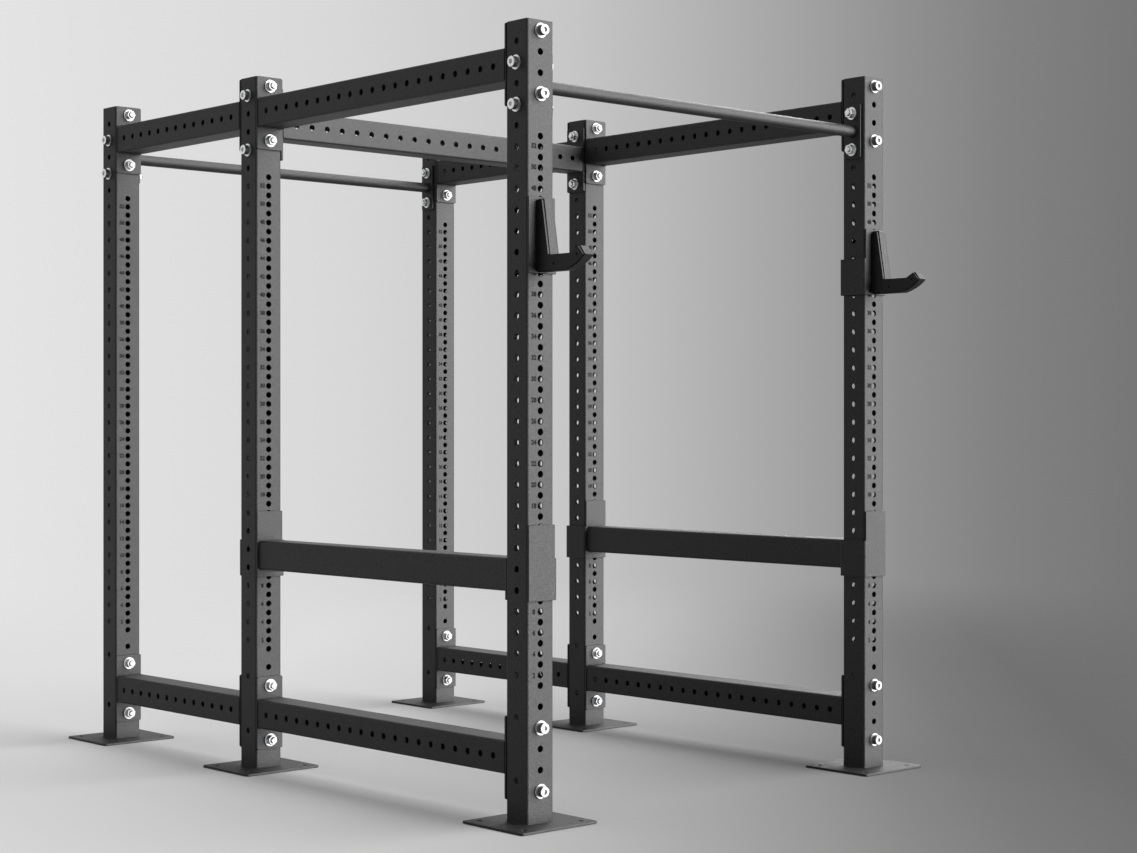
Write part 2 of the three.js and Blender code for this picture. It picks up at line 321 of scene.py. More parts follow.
def wear_plastic():
    """Black polyethylene of the hooks' cheeks and seats, with a sawn grain."""
    shader = Shader(bpy.data.materials.new("black_wear_plastic"))
    cloud = shader.noise(0.020)
    grain = shader.noise(0.0007, 3.0)
    return shader.finish(
        {
            "Base Color": shader.shade((0.0035, 0.0035, 0.0036), (0.0055, 0.0055, 0.0057), cloud),
            "Roughness": 0.42 + 0.12 * grain,
            "Normal": shader.bump(grain, 0.25, 0.00015),
            "Specular IOR Level": 0.16,
        }
    )


def cap_plastic():
    """Moulded black plastic of the caps in the uprights."""
    shader = Shader(bpy.data.materials.new("moulded_cap_plastic"))
    grain = shader.noise(0.0009, 3.0)
    return shader.finish(
        {
            "Base Color": shader.shade((0.014, 0.014, 0.014), (0.020, 0.020, 0.020), grain),
            "Roughness": 0.50 + 0.12 * grain,
            "Normal": shader.bump(grain, 0.30, 0.0002),
        }
    )


def black_screws():
    """Blackened steel of the small screws in the hooks."""
    shader = Shader(bpy.data.materials.new("blackened_steel"))
    grain = shader.noise(0.0006)
    return shader.finish(
        {
            "Base Color": shader.shade((0.030, 0.030, 0.032), (0.060, 0.060, 0.062), grain),
            "Metallic": 1.0,
            "Roughness": 0.30 + 0.15 * grain,
        }
    )


def digit_ink():
    """Dark matt ink of the hole numbers."""
    shader = Shader(bpy.data.materials.new("matt_digit_ink"))
    grain = shader.noise(0.0008)
    return shader.finish(
        {
            "Base Color": shader.shade((0.006, 0.006, 0.006), (0.012, 0.012, 0.012), grain),
            "Roughness": 0.80 + 0.15 * grain,
            "Specular IOR Level": 0.0,
        }
    )


# ---- mesh building ------------------------------------------------------------------------------


def circle(diameter, steps=ROUND_STEPS, centre=(0.0, 0.0)):
    points = []
    for i in range(steps):
        angle = math.tau * i / steps
        x = centre[0] + diameter / 2 * math.cos(angle)
        y = centre[1] + diameter / 2 * math.sin(angle)
        points.append((x, y))
    return points


def hole_at(diameter, centre, steps=ROUND_STEPS):
    """A hole's loop runs the other way from an outline's, so that the plate lies on its left."""
    return circle(diameter, steps, centre)[::-1]


def rounded(corners, radii):
    """An outline, anticlockwise, with each corner rounded by an arc of its own radius."""
    points = []
    for i, corner in enumerate(corners):
        here = Vector(corner)
        before = (Vector(corners[i - 1]) - here).normalized()
        after = (Vector(corners[(i + 1) % len(corners)]) - here).normalized()
        radius = radii[i]
        if radius == 0:
            points.append(tuple(here))
            continue
        half = before.angle(after) / 2
        middle = here + (before + after).normalized() * radius / math.sin(half)
        start = here + before * radius / math.tan(half) - middle
        sweep = before.cross(after)
        turn = math.copysign(math.pi - 2 * half, -sweep)
        for step in range(CORNER_STEPS + 1):
            arm = start.copy()
            arm.rotate(Matrix.Rotation(turn * step / CORNER_STEPS, 2))
            points.append(tuple(middle + arm))
    return points


def rectangle(width, height, radius):
    x, y = width / 2, height / 2
    return rounded([(-x, -y), (x, -y), (x, y), (-x, y)], [radius] * 4)


def inset(points, distance):
    """Moves every side of a closed outline to its left."""
    moved = []
    for i, point in enumerate(points):
        here = Vector(point)
        along = (here - Vector(points[i - 1])).normalized()
        onward = (Vector(points[(i + 1) % len(points)]) - here).normalized()
        left = Vector((-along.y, along.x))
        next_left = Vector((-onward.y, onward.x))
        moved.append(tuple(here + (left + next_left) * distance / (1 + left.dot(next_left))))
    return moved


def add_ring(bm, points, z, place):
    return [bm.verts.new(place @ Vector((x, y, z))) for x, y in points]


def bridge(bm, low, high):
    for i in range(len(low)):
        bm.faces.new((low[i - 1], low[i], high[i], high[i - 1]))


def fill(bm, rings):
    """A flat face between an outer ring and any rings inside it."""
    edges = []
    for ring in rings:
        for i in range(len(ring)):
            edges.append(bm.edges.get((ring[i - 1], ring[i])))
    bmesh.ops.triangle_fill(bm, use_beauty=True, edges=edges)


def add_plate(bm, outline, holes, thickness, edge, place):
    """A flat cut plate from z = 0 up, with its edges eased."""
    ease = [(edge, 0.0), (edge * EASED, edge * EASED), (0.0, edge)]
    levels = ease + [(back, thickness - rise) for back, rise in reversed(ease)]
    low_rings, high_rings = [], []
    for loop in [outline, *holes]:
        rings = [add_ring(bm, inset(loop, back), z, place) for back, z in levels]
        for low, high in zip(rings, rings[1:]):
            bridge(bm, low, high)
        low_rings.append(rings[0])
        high_rings.append(rings[-1])
    fill(bm, low_rings)
    fill(bm, high_rings)


def add_turned(bm, profile, place, steps=ROUND_STEPS):
    """Turns a profile of (radius, z) round the Z axis and returns its rings."""
    rings = [add_ring(bm, circle(2 * radius, steps), z, place) for radius, z in profile]
    for low, high in zip(rings, rings[1:]):
        bridge(bm, low, high)
    return rings


def add_pipe(bm, diameter, wall, length, place):
    outer, inner = diameter / 2, diameter / 2 - wall
    profile = [(inner, 0.0), (outer, 0.0), (outer, length), (inner, length)]
    rings = add_turned(bm, profile, place, 2 * ROUND_STEPS)
    bridge(bm, rings[-1], rings[0])


def tube_section(width, depth, corner, inward):
    """One skin of a tube's section as 4 faces, each a list of points from flat to next corner."""
    faces = []
    reach = [depth / 2, width / 2, depth / 2, width / 2]
    for side in range(4):
        turn = Matrix.Rotation(math.pi / 2 * side, 2)
        flat = reach[(side + 1) % 4] - corner
        out = reach[side] - inward
        points = [turn @ Vector((-flat, -out)), turn @ Vector((flat, -out))]
        centre = turn @ Vector((flat, corner - reach[side]))
        for step in range(1, CORNER_STEPS):
            arm = turn @ Vector((0.0, inward - corner))
            arm.rotate(Matrix.Rotation(math.pi / 2 * step / CORNER_STEPS, 2))
            points.append(centre + arm)
        faces.append(points)
    return faces


def add_tube(bm, width, depth, corner, length, holes, place, hole=HOLE):
    """A rectangular tube from z = 0 up. holes gives, for each side (0 faces -Y, 1 faces +X, 2 faces
    +Y, 3 faces -X), the heights of its round holes."""
    cell = PITCH / 2
    first_eighth = -3 / 8  # of a turn: a hole's ring starts towards its cell's lower left corner
    levels = {0.0, length}
    for heights in holes.values():
        for z in heights:
            levels |= {round(z - cell, ROUNDED_TO), round(z + cell, ROUNDED_TO)}
    levels = sorted(levels)
    skins = []
    for inward in (0.0, TUBE_WALL):
        section = tube_section(width, depth, corner, inward)
        skin = []
        for z in levels:
            skin.append([[bm.verts.new(place @ Vector((*p, z))) for p in side] for side in section])
        skins.append(skin)
    for skin in skins:
        for level, (low, high) in enumerate(zip(skin, skin[1:])):
            middle = (levels[level] + levels[level + 1]) / 2
            for side in range(4):
                low_run = [*low[side], low[(side + 1) % 4][0]]
                high_run = [*high[side], high[(side + 1) % 4][0]]
                for i in range(1, len(low_run) - 1):
                    bm.faces.new((low_run[i], low_run[i + 1], high_run[i + 1], high_run[i]))
                drilled = any(abs(z - middle) < SAME_HEIGHT for z in holes.get(side, []))
                if not drilled:
                    bm.faces.new((low_run[0], low_run[1], high_run[1], high_run[0]))
    for side, heights in holes.items():
        turn = Matrix.Rotation(math.pi / 2 * side, 4, "Z")
        out = (depth if side % 2 == 0 else width) / 2
        for z in heights:
            row = levels.index(round(z - cell, ROUNDED_TO))
            rings = []
            for spread, inward in ((HOLE_EDGE, 0.0), (0.0, HOLE_EDGE), (0.0, TUBE_WALL)):
                ring = []
                for i in range(ROUND_STEPS):
                    angle = math.tau * (i / ROUND_STEPS + first_eighth)
                    x = (hole / 2 + spread) * math.cos(angle)
                    y = (hole / 2 + spread) * math.sin(angle)
                    ring.append(bm.verts.new(place @ turn @ Vector((x, inward - out, z + y))))
                rings.append(ring)
            for near, far in zip(rings, rings[1:]):
                bridge(bm, near, far)
            for skin, ring in ((skins[0], rings[0]), (skins[1], rings[-1])):
                low, high = skin[row][side], skin[row + 1][side]
                frame_corners = [low[0], low[1], high[1], high[0]]
                quarter = ROUND_STEPS // 4
                for i in range(4):
                    arc = [ring[(i * quarter + j) % ROUND_STEPS] for j in range(quarter + 1)]
                    bm.faces.new((frame_corners[i], frame_corners[(i + 1) % 4], *reversed(arc)))
    for end in (0, -1):
        outer = [v for side in skins[0][end] for v in side]
        inner = [v for side in skins[1][end] for v in side]
        bridge(bm, outer, inner)


def evenly(points, spacing):
    """Points spaced evenly along a closed outline, each with the direction to its right."""
    sides = []
    for i, point in enumerate(points):
        start, end = Vector(points[i - 1]), Vector(point)
        sides.append((start, end, (end - start).length))
    total = sum(length for _, _, length in sides)
    count = round(total / spacing)
    placed = []
    walked = 0.0
    index = 0
    for i in range(count):
        target = total * i / count
        while walked + sides[index][2] < target:
            walked += sides[index][2]
            index += 1
        start, end, length = sides[index]
        along = (end - start).normalized()
        point = start.lerp(end, (target - walked) / length)
        placed.append((point, Vector((along.y, -along.x))))
    return placed


def add_weld(bm, outline, place):
    """A rippled bead round an outline, on the plate at z = 0."""
    stations = evenly(outline, WELD_STEP)
    rings = []
    for i, (point, outward) in enumerate(stations):
        radius = WELD * (1 + WELD_RIPPLE * math.sin(i * math.tau / WELD_RIPPLE_STEPS))
        ring = []
        for j in range(WELD_FACETS):
            angle = math.tau * j / WELD_FACETS
            out = radius * math.cos(angle) + WELD * WELD_SEAT
            up = radius * math.sin(angle) + WELD * WELD_SEAT
            x, y = point + outward * out
            ring.append(bm.verts.new(place @ Vector((x, y, up))))
        rings.append(ring)
    for i, ring in enumerate(rings):
        bridge(bm, rings[i - 1], ring)


def mesh_from(bm, name, smooth_below=ROUND_ANGLE):
    """Turns the shells outside out and shades their rounds smooth and their corners sharp."""
    bmesh.ops.recalc_face_normals(bm, faces=bm.faces)
    mesh = bpy.data.meshes.new(name)
    bm.to_mesh(mesh)
    bm.free()
    mesh.shade_smooth()
    mesh.set_sharp_from_angle(angle=math.radians(smooth_below))
    return mesh


def piece(name, mesh, materials, body, place=Matrix.Identity(4), stands_for=()):
    """Puts a mesh in the cage as a named piece that moves with a body."""
    if not mesh.materials:
        for material in materials:
            mesh.materials.append(material)
    made = bpy.data.objects.new(name, mesh)
    made.matrix_world = place
    bpy.context.scene.collection.objects.link(made)
    flat = made.modifiers.new("flat_faces_shade_flat", "WEIGHTED_NORMAL")
    flat.keep_sharp = True
    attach(made, body)
    if stands_for:
        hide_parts(*stands_for)
    return made


# ---- uprights -----------------------------------------------------------------------------------


def upright_mesh(top, foot_size):
    """A punched square tube welded on its foot plate, centred on the Z axis."""
    bm = bmesh.new()
    forward = [height_of(step) - FOOT_PLATE for step in FORWARD_STEPS]
    sideways = [height_of(step) - FOOT_PLATE for step in SIDEWAYS_STEPS]
    stand = Matrix.Translation((0, 0, FOOT_PLATE))
    holes = {0: forward, 1: sideways, 2: forward, 3: sideways}
    add_tube(bm, TUBE, TUBE, TUBE_CORNER, top - FOOT_PLATE, holes, stand)
    anchors = []
    for x in (-ANCHOR_SPACING / 2, ANCHOR_SPACING / 2):
        for y in (-ANCHOR_SPACING / 2, ANCHOR_SPACING / 2):
            anchors.append(hole_at(ANCHOR_HOLE, (x, y)))
    foot = rectangle(foot_size, foot_size, FOOT_CORNER)
    add_plate(bm, foot, anchors, FOOT_PLATE, PLATE_EDGE, Matrix.Identity(4))
    add_weld(bm, rectangle(TUBE, TUBE, TUBE_CORNER), stand)
    return mesh_from(bm, "upright")


def cap_mesh():
    """A push-in cap: a slightly sunk panel with a raised rim and a skirt inside the tube."""
    bm = bmesh.new()
    width = TUBE - 2 * TUBE_WALL - FIT_GAP
    corner = TUBE_CORNER - TUBE_WALL
    outline = rectangle(width, width, corner)
    profile = [
        (0.0, -CAP_DEPTH),
        (0.0, -CAP_RIB / 4),
        (CAP_RIB / 4, 0.0),
        (CAP_RIB, 0.0),
        (CAP_RIB * 1.5, -CAP_RIB / 3),
    ]
    rings = [add_ring(bm, inset(outline, back), z, Matrix.Identity(4)) for back, z in profile]
    for low, high in zip(rings, rings[1:]):
        bridge(bm, low, high)
    fill(bm, [rings[0]])
    fill(bm, [rings[-1]])
    return mesh_from(bm, "upright_cap")


def numbers_mesh():
    """The numbers of the even holes, for an upright whose axis is the Z axis."""
    bm = bmesh.new()
    for step in NUMBERED_STEPS:
        text = bpy.data.curves.new("number", "FONT")
        text.body = str(step)
        text.size = DIGIT_SIZE
        text.align_x = "CENTER"
        text.align_y = "CENTER"
        text.extrude = DIGIT_THICKNESS / 2
        text.offset = DIGIT_STROKE
        text.resolution_u = DIGIT_CURVE_STEPS
        holder = bpy.data.objects.new("number", text)
        flat = bpy.data.meshes.new_from_object(holder)
        stand = Matrix.Translation((-DIGIT_OFFSET, -(TUBE + DIGIT_THICKNESS) / 2, height_of(step)))
        flat.transform(stand @ Matrix.Rotation(math.pi / 2, 4, "X"))
        bm.from_mesh(flat)
        bpy.data.objects.remove(holder)
        bpy.data.curves.remove(text)
        bpy.data.meshes.remove(flat)
    bmesh.ops.remove_doubles(bm, verts=bm.verts, dist=MERGED_BELOW)
    return mesh_from(bm, "hole_numbers", FLAT_ANGLE)


# ---- beams and bars -----------------------------------------------------------------------------


def add_flanges(bm, width, height, length):
    """A flange at each end of a beam that runs from z = 0 to z = length. Its height is along Y."""
    bolt_rise = height / 2 - BOLT_TO_FLANGE_END
    holes = [hole_at(HOLE, (0.0, bolt_rise)), hole_at(HOLE, (0.0, -bolt_rise))]
    outline = rectangle(width, height, FLANGE_CORNER)
    for start in (0.0, length - FLANGE):
        add_plate(bm, outline, holes, FLANGE, PLATE_EDGE, Matrix.Translation((0, 0, start)))


def add_end_welds(bm, outline, length):
    add_weld(bm, outline, Matrix.Translation((0, 0, FLANGE)))
    mirror = Matrix.Translation((0, 0, length - FLANGE)) @ Matrix.Scale(-1, 4, (0, 0, 1))
    add_weld(bm, outline, mirror)


def beam_mesh(length, flange_height):
    """A square beam along +Z between its flanges, punched on the two faces that look along X."""
    bm = bmesh.new()
    inner = length - 2 * FLANGE
    count = round((length + 2 * FIT_GAP) / BEAM_HOLE_PITCH) - 1
    first = BEAM_HOLE_PITCH - FIT_GAP - FLANGE
    row = [first + i * BEAM_HOLE_PITCH for i in range(count)]
    place = Matrix.Translation((0, 0, FLANGE))
    add_tube(bm, TUBE, TUBE, TUBE_CORNER, inner, {1: row, 3: row}, place)
    add_flanges(bm, TUBE, flange_height, length)
    add_end_welds(bm, rectangle(TUBE, TUBE, TUBE_CORNER), length)
    return mesh_from(bm, "beam")


def bar_mesh(length, flange_width, flange_height):
    """A round pull-up bar along +Z between its flanges."""
    bm = bmesh.new()
    add_pipe(bm, BAR, BAR_WALL, length - 2 * FLANGE, Matrix.Translation((0, 0, FLANGE)))
    add_flanges(bm, flange_width, flange_height, length)
    add_end_welds(bm, circle(BAR), length)
    return mesh_from(bm, "pull_up_bar")


# ---- bolts --------------------------------------------------------------------------------------


def hexagon(flats):
    return circle(flats / math.cos(math.pi / 6), 6)


def bolt_mesh(length):
    """A socket screw along +Z with its head at z = 0, its two washers, its nut and its thread."""
    bm = bmesh.new()
    here = Matrix.Identity(4)
    head = HEAD / 2
    shank = SHANK / 2
    seat = HEAD_HEIGHT
    nut_top = length - BOLT_TAIL
    profile = [
        (head - HEAD_CHAMFER, 0.0),
        (head, HEAD_CHAMFER),
        (head, seat - HEAD_CHAMFER / 3),
        (head - HEAD_CHAMFER / 3, seat),
        (shank, seat),
        (shank, nut_top),
    ]
    for ridge in range(int(BOLT_TAIL / THREAD_PITCH)):
        z = nut_top + ridge * THREAD_PITCH
        profile.append((shank - THREAD_DEPTH, z + THREAD_PITCH / 2))
        profile.append((shank, z + THREAD_PITCH))
    profile.append((shank - 2 * THREAD_DEPTH, length))
    rings = add_turned(bm, profile, here)
    fill(bm, [rings[-1]])
    socket = hexagon(SOCKET)
    mouth = add_ring(bm, socket, 0.0, here)
    floor = add_ring(bm, socket, SOCKET_DEPTH, here)
    bridge(bm, mouth, floor)
    fill(bm, [floor])
    fill(bm, [rings[0], mouth])
    bore = hole_at(HOLE + FIT_GAP, (0.0, 0.0))
    for start in (seat, nut_top - NUT_HEIGHT - WASHER_THICKNESS):
        place = Matrix.Translation((0, 0, start))
        rim = circle(WASHER, 2 * ROUND_STEPS)
        add_plate(bm, rim, [bore], WASHER_THICKNESS, WASHER_EDGE, place)
    nut_place = Matrix.Translation((0, 0, nut_top - NUT_HEIGHT))
    add_plate(bm, hexagon(NUT_FLATS), [bore], NUT_HEIGHT, NUT_EDGE, nut_place)
    mesh = mesh_from(bm, "bolt_set", BOLT_ANGLE)
    # The heads' sides take the second finish, a painted shade that darkens them.
    for face in mesh.polygons:
        x, y, z = face.center
        on_rim = math.hypot(x, y) > head * SIDE_SHARE
        between = HEAD_CHAMFER < z < seat - HEAD_CHAMFER / 2
        face.material_index = int(on_rim and between)
    return mesh


# ---- hanging brackets ---------------------------------------------------------------------------


def bent_plate_path(lip_end):
    """Plan of the bent plate: (outside point, inside point) from the front plate's free edge,
    round the upright's inner side, to the end of the lip behind it."""
    inside = TUBE + BRACKET_CLEARANCE
    outside = inside + BRACKET_PLATE
    centre = outside - BRACKET_BEND
    inner_bend = BRACKET_BEND - BRACKET_PLATE
    path = [(Vector((0.0, TUBE - outside)), Vector((0.0, TUBE - inside)))]
    bends = [
        (Vector((centre, TUBE - centre)), -math.pi / 2),
        (Vector((centre, centre)), 0.0),
    ]
    for middle, start in bends:
        for step in range(CORNER_STEPS + 1):
            angle = start + math.pi / 2 * step / CORNER_STEPS
            arm = Vector((math.cos(angle), math.sin(angle)))
            path.append((middle + arm * BRACKET_BEND, middle + arm * inner_bend))
    path.append((Vector((lip_end, outside)), Vector((lip_end, inside))))
    return path


def round_edges(bm, edges, offset, steps):
    bmesh.ops.bevel(bm, geom=edges, offset=offset, segments=steps, affect="EDGES", profile=0.5)


def add_bracket(bm, lip_end, place):
    """The bent plate with its tall front and its pin. Its foot is at z = 0."""
    path = bent_plate_path(lip_end)
    tall = 1  # the front plate is the path's first stretch
    levels = [0.0, BRACKET_WRAP_HEIGHT, BRACKET_HEIGHT]
    shell = bmesh.new()
    skins = []
    for skin in (0, 1):
        skins.append([[shell.verts.new((*pair[skin], z)) for pair in path] for z in levels])
    cells = [(i, 0) for i in range(len(path) - 1)] + [(i, 1) for i in range(tall)]
    walls = {}
    for i, level in cells:
        corners = [(i, level), (i + 1, level), (i + 1, level + 1), (i, level + 1)]
        for skin in skins:
            shell.faces.new([skin[row][column] for column, row in corners])
        for j in range(4):
            side = frozenset((corners[j - 1], corners[j]))
            walls[side] = walls.get(side, 0) + 1
    for side, uses in walls.items():
        if uses == 1:
            (column, row), (next_column, next_row) = sorted(side)
            outer, inner = skins
            shell.faces.new(
                (
                    outer[row][column],
                    outer[next_row][next_column],
                    inner[next_row][next_column],
                    inner[row][column],
                )
            )
    loose = [v for v in shell.verts if not v.link_faces]
    bmesh.ops.delete(shell, geom=loose, context="VERTS")
    bmesh.ops.recalc_face_normals(shell, faces=shell.faces)
    cut_corners = []
    for edge in shell.edges:
        across = edge.calc_length() < BRACKET_PLATE + MERGED_BELOW
        if across and edge.calc_face_angle_signed(0.0) > CUT_CORNER_ANGLE:
            cut_corners.append(edge)
    round_edges(shell, cut_corners, BRACKET_CORNER, CORNER_STEPS)
    sharp = [edge for edge in shell.edges if edge.calc_face_angle(0.0) > SHARP_ANGLE]
    round_edges(shell, sharp, PLATE_EDGE, 2)
    merge(bm, shell, place)
    pin = PIN / 2
    start = -BRACKET_CLEARANCE
    turned = [
        (pin, 0.0),
        (pin, PIN_REACH + start - PIN_CHAMFER),
        (pin - PIN_CHAMFER, PIN_REACH + start),
    ]
    pin_place = Matrix.Translation((TUBE / 2, start, BRACKET_HEIGHT - PIN_BELOW_TOP))
    pin_place = place @ pin_place @ Matrix.Rotation(-math.pi / 2, 4, "X")
    rings = add_turned(bm, turned, pin_place)
    fill(bm, [rings[0]])
    fill(bm, [rings[-1]])


def merge(bm, other, place):
    """Adds another mesh in work to this one, placed by a matrix."""
    other.transform(place)
    passing = bpy.data.meshes.new("passing")
    other.to_mesh(passing)
    other.free()
    bm.from_mesh(passing)
    bpy.data.meshes.remove(passing)


# ---- J-cups -------------------------------------------------------------------------------------


def hook_outline(root, seat, set_back):
    """Side view of the hook: reach from the upright along X, height along Y, anticlockwise. Its
    edges, apart from those round the seat, stand back by set_back."""
    foot = HOOK_FOOT + set_back
    reach = HOOK_REACH - set_back
    top_reach, top_height = HOOK_TOP
    tip_reach, tip_height = TIP_TOP
    start = Vector((TIP_UNDER, foot))
    pull = Vector((reach - (reach - TIP_UNDER) / 3, foot + SEAT_HEIGHT / 4))
    end = Vector((reach, TIP_FRONT))
    under = []
    for i in range(TIP_STEPS + 1):
        t = i / TIP_STEPS
        under.append(tuple(start * (1 - t) ** 2 + pull * 2 * t * (1 - t) + end * t * t))
    corners = [
        (root, foot),
        *under,
        (tip_reach - set_back / 2, tip_height - set_back),
        (SEAT_END, seat),
        (SEAT_START - set_back, seat),
        (top_reach - set_back, top_height - set_back),
        (root, top_height - set_back),
    ]
    radii = [0.0] * (len(under) + 1) + [TIP_ROUND, SEAT_ROUND, SEAT_ROUND / 2, HOOK_TOP_ROUND, 0.0]
    return rounded(corners, radii)


def hook_place(place, across):
    """Stands a side view up: its X runs out from the upright, its Y up, its Z across the upright."""
    turn = Matrix(((0, 0, 1, across), (-1, 0, 0, 0), (0, 1, 0, 0), (0, 0, 0, 1)))
    return place @ turn


def jcup_bracket_mesh(place):
    bm = bmesh.new()
    add_bracket(bm, JCUP_LIP_END, place)
    root = BRACKET_CLEARANCE + BRACKET_PLATE
    low = TUBE / 2 - HOOK_WIDTH / 2 + CHEEK + FIT_GAP
    thick = HOOK_WIDTH - 2 * CHEEK - 2 * FIT_GAP
    core = hook_outline(root, SEAT_HEIGHT - SEAT_PAD - FIT_GAP, 0.0)
    add_plate(bm, core, [], thick, PLATE_EDGE, hook_place(place, low))
    return mesh_from(bm, "jcup_bracket")


def jcup_liner_mesh(place):
    bm = bmesh.new()
    root = BRACKET_CLEARANCE + BRACKET_PLATE + FIT_GAP
    low = TUBE / 2 - HOOK_WIDTH / 2
    outline = hook_outline(root, SEAT_HEIGHT, CHEEK_SET_BACK)
    screw_holes = [hole_at(LINER_SCREW, spot, ROUND_STEPS // 2) for spot in LINER_SCREWS]
    for across in (low, low + HOOK_WIDTH - CHEEK):
        add_plate(bm, outline, screw_holes, CHEEK, CHEEK_EDGE, hook_place(place, across))
    pad = [
        (SEAT_START, SEAT_HEIGHT - SEAT_PAD),
        (SEAT_END, SEAT_HEIGHT - SEAT_PAD),
        (SEAT_END, SEAT_HEIGHT),
        (SEAT_START, SEAT_HEIGHT),
    ]
    width = HOOK_WIDTH - 2 * CHEEK
    add_plate(bm, pad, [], width, PLATE_EDGE, hook_place(place, low + CHEEK))
    return mesh_from(bm, "jcup_liner")


def liner_screws_mesh(place):
    bm = bmesh.new()
    head = (LINER_SCREW - FIT_GAP) / 2
    profile = [
        (head, 0.0),
        (head * 0.95, LINER_SCREW_CROWN / 2),
        (head * 0.5, LINER_SCREW_CROWN),
        (head * 0.4, LINER_SCREW_CROWN / 2),
    ]
    half = HOOK_WIDTH / 2 - LINER_SCREW_SUNK
    faces = [(TUBE / 2 - half, -1), (TUBE / 2 + half, 1)]
    for across, outward in faces:
        for reach, height in LINER_SCREWS:
            spot = Matrix.Translation((reach, height, 0)) @ Matrix.Scale(outward, 4, (0, 0, 1))
            rings = add_turned(bm, profile, hook_place(place, across) @ spot, ROUND_STEPS // 2)
            fill(bm, [rings[0]])
            fill(bm, [rings[-1]])
    return mesh_from(bm, "liner_screws")


# ---- safety beams -------------------------------------------------------------------------------


def safety_mesh(bay_pitch, place):
    bm = bmesh.new()
    start = TUBE + BRACKET_CLEARANCE + BRACKET_PLATE
    length = bay_pitch - BRACKET_CLEARANCE - BRACKET_PLATE - start
    lie = Matrix.Translation((TUBE / 2, start, SAFETY_FOOT + SAFETY_HEIGHT / 2))
    lie = place @ lie @ Matrix.Rotation(-math.pi / 2, 4, "X")
    drain = {2: [DRAIN_INSET]}
    add_tube(bm, SAFETY_WIDTH, SAFETY_HEIGHT, SAFETY_CORNER, length, drain, lie, DRAIN_HOLE)
    outline = rectangle(SAFETY_WIDTH, SAFETY_HEIGHT, SAFETY_CORNER)
    add_weld(bm, outline, lie)
    mirror = Matrix.Translation((0, 0, length)) @ Matrix.Scale(-1, 4, (0, 0, 1))
    add_weld(bm, outline, lie @ mirror)
    add_bracket(bm, SAFETY_LIP_END, place)
    add_bracket(bm, SAFETY_LIP_END, place @ Matrix.Translation((0, bay_pitch, 0)))
    return mesh_from(bm, "safety_beam")


# ---- assembly -----------------------------------------------------------------------------------

# Turns a piece drawn along +Z, with its height along Y, so that it runs along +X with its height up.
ALONG_X = Matrix(((0, 0, 1, 0), (1, 0, 0, 0), (0, 1, 0, 0), (0, 0, 0, 1)))


def middle_of(node):
    low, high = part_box(node)
    return (low + high) / 2, high - low


def build_uprights(coat, cap_finish, ink):
    _, size = middle_of("upright_front_left")
    mesh = upright_mesh(size.z, size.x)
    cap = cap_mesh()
    numbers = numbers_mesh()
    for row in ROWS:
        for side in SIDES:
            node = f"upright_{row}_{side}"
            spot, _ = middle_of(node)
            stand = Matrix.Translation((spot.x, spot.y, 0))
            piece(f"post_{row}_{side}", mesh, coat, "frame", stand, [node])
            top = Matrix.Translation((spot.x, spot.y, size.z - CAP_TOP))
            piece(f"post_cap_{row}_{side}", cap, cap_finish, "frame", top)
            piece(f"hole_numbers_{row}_{side}", numbers, ink, "frame", stand)


def build_beams(coat):
    meshes = {}
    for side in SIDES:
        for bay in ("front", "rear"):
            for level in ("upper", "lower"):
                node = f"side_beam_{level}_{bay}_{side}"
                middle, size = middle_of(node)
                if bay not in meshes:
                    meshes[bay] = beam_mesh(size.y, size.z)
                start = Matrix.Translation((middle.x, middle.y - size.y / 2, middle.z))
                lie = start @ Matrix.Rotation(-math.pi / 2, 4, "X")
                piece(f"beam_{level}_{bay}_{side}", meshes[bay], coat, "frame", lie, [node])
    middle, size = middle_of("cross_beam")
    lie = Matrix.Translation((middle.x - size.x / 2, middle.y, middle.z)) @ ALONG_X
    piece("beam_cross", beam_mesh(size.x, size.z), coat, "frame", lie, ["cross_beam"])


def build_bars(coat):
    mesh = None
    for row in ("front", "rear"):
        node = f"pull_up_bar_{row}"
        middle, size = middle_of(node)
        mesh = mesh or bar_mesh(size.x, size.y, size.z)
        lie = Matrix.Translation((middle.x - size.x / 2, middle.y, middle.z)) @ ALONG_X
        piece(f"bar_{row}", mesh, coat, "frame", lie, [node])


def build_bolts(finishes):
    """Front to back on the front uprights with the head in front, and the other way elsewhere."""
    meshes = {}
    bolts = []
    names = sorted(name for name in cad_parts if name.startswith(("bolt_", "side_bolt_")))
    for count, node in enumerate(names):
        middle, size = middle_of(node)
        across = node.startswith("side_bolt_")
        if across:
            heading = Vector((1, 0, 0)) if "_left_" in node else Vector((-1, 0, 0))
            length = size.x
        else:
            heading = Vector((0, 1, 0)) if "_front_" in node else Vector((0, -1, 0))
            length = size.y
        key = round(length, 4)
        if key not in meshes:
            meshes[key] = bolt_mesh(length)
        start = middle - heading * length / 2
        turn = heading.to_track_quat("Z", "Y").to_matrix().to_4x4()
        tightened = Matrix.Rotation(count * TIGHTENED, 4, "Z")
        place = Matrix.Translation(start) @ turn @ tightened
        bolt = piece(f"fastener_{node}", meshes[key], finishes, "frame", place, [node])
        bolts.append(bolt)
    return bolts


